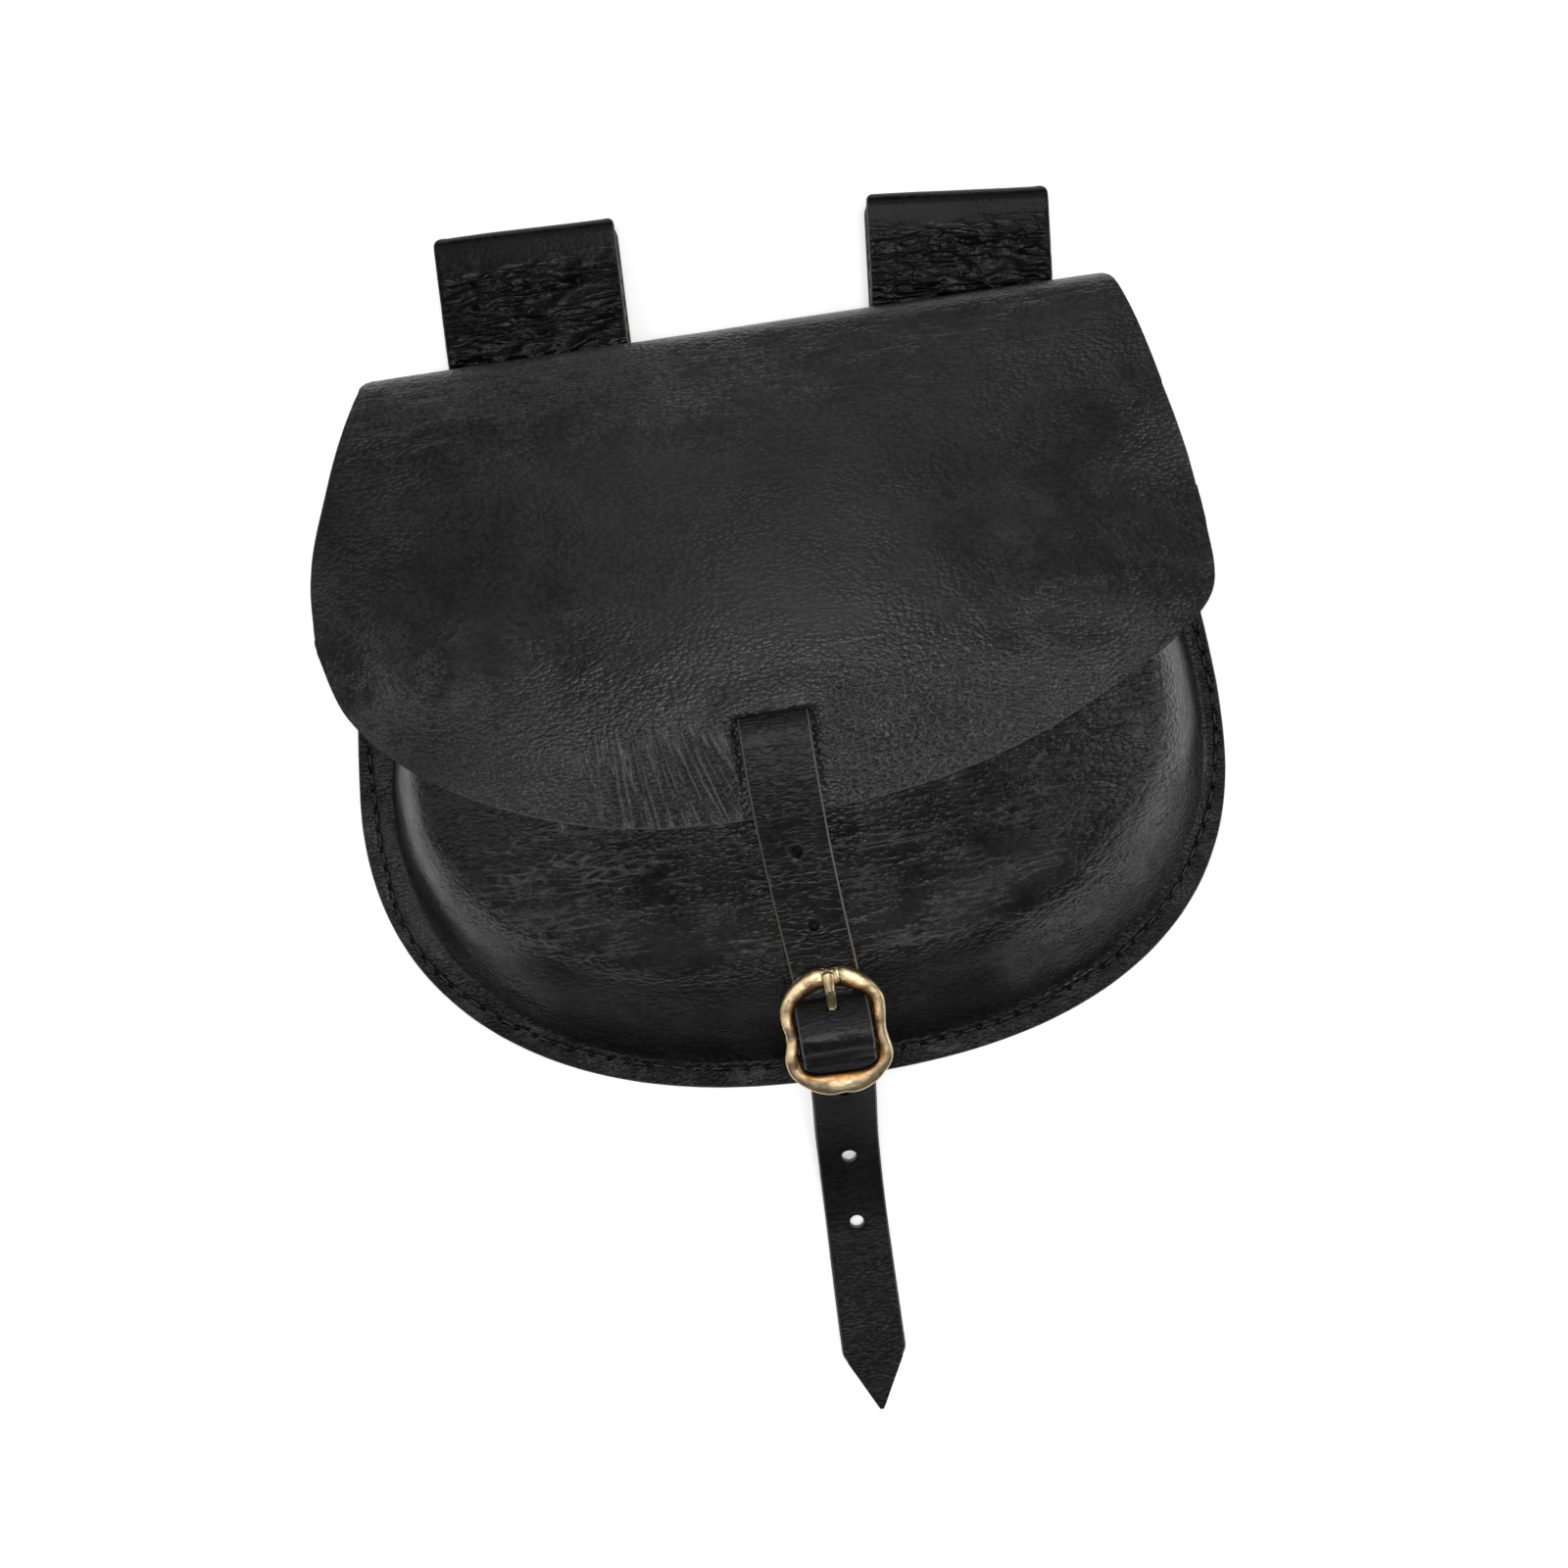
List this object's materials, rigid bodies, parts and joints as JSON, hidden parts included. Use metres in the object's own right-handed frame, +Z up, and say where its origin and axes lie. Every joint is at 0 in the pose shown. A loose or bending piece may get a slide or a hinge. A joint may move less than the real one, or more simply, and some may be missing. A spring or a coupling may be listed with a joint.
{
  "type": "leather belt pouch",
  "caption": "Half-moon pouch of moulded black leather worn on a belt, with a folded-over flap, wide belt loops and a closing strap held by a brass buckle.",
  "frame": {"origin": "on the underside of the back panel, midway between the fold and the lower edge and midway across", "axes": "+Z up out of the front as the pouch lies on its back, +Y along its length towards the belt loops, +X to the right as seen from the front"},
  "size_m": [0.238, 0.3366, 0.063],
  "materials": {
    "black_leather": "semi-gloss, fine pebble grain",
    "antique_brass": "cast, softly polished"
  },
  "bodies": {
    "root": {"back_and_flap": "black_leather", "pouch_front": "black_leather", "closing_strap": "black_leather", "buckle_tab": "black_leather", "belt_loop_left": "black_leather", "belt_loop_right": "black_leather", "buckle_frame": "antique_brass", "buckle_tongue": "antique_brass"}
  },
  "joints": []
}
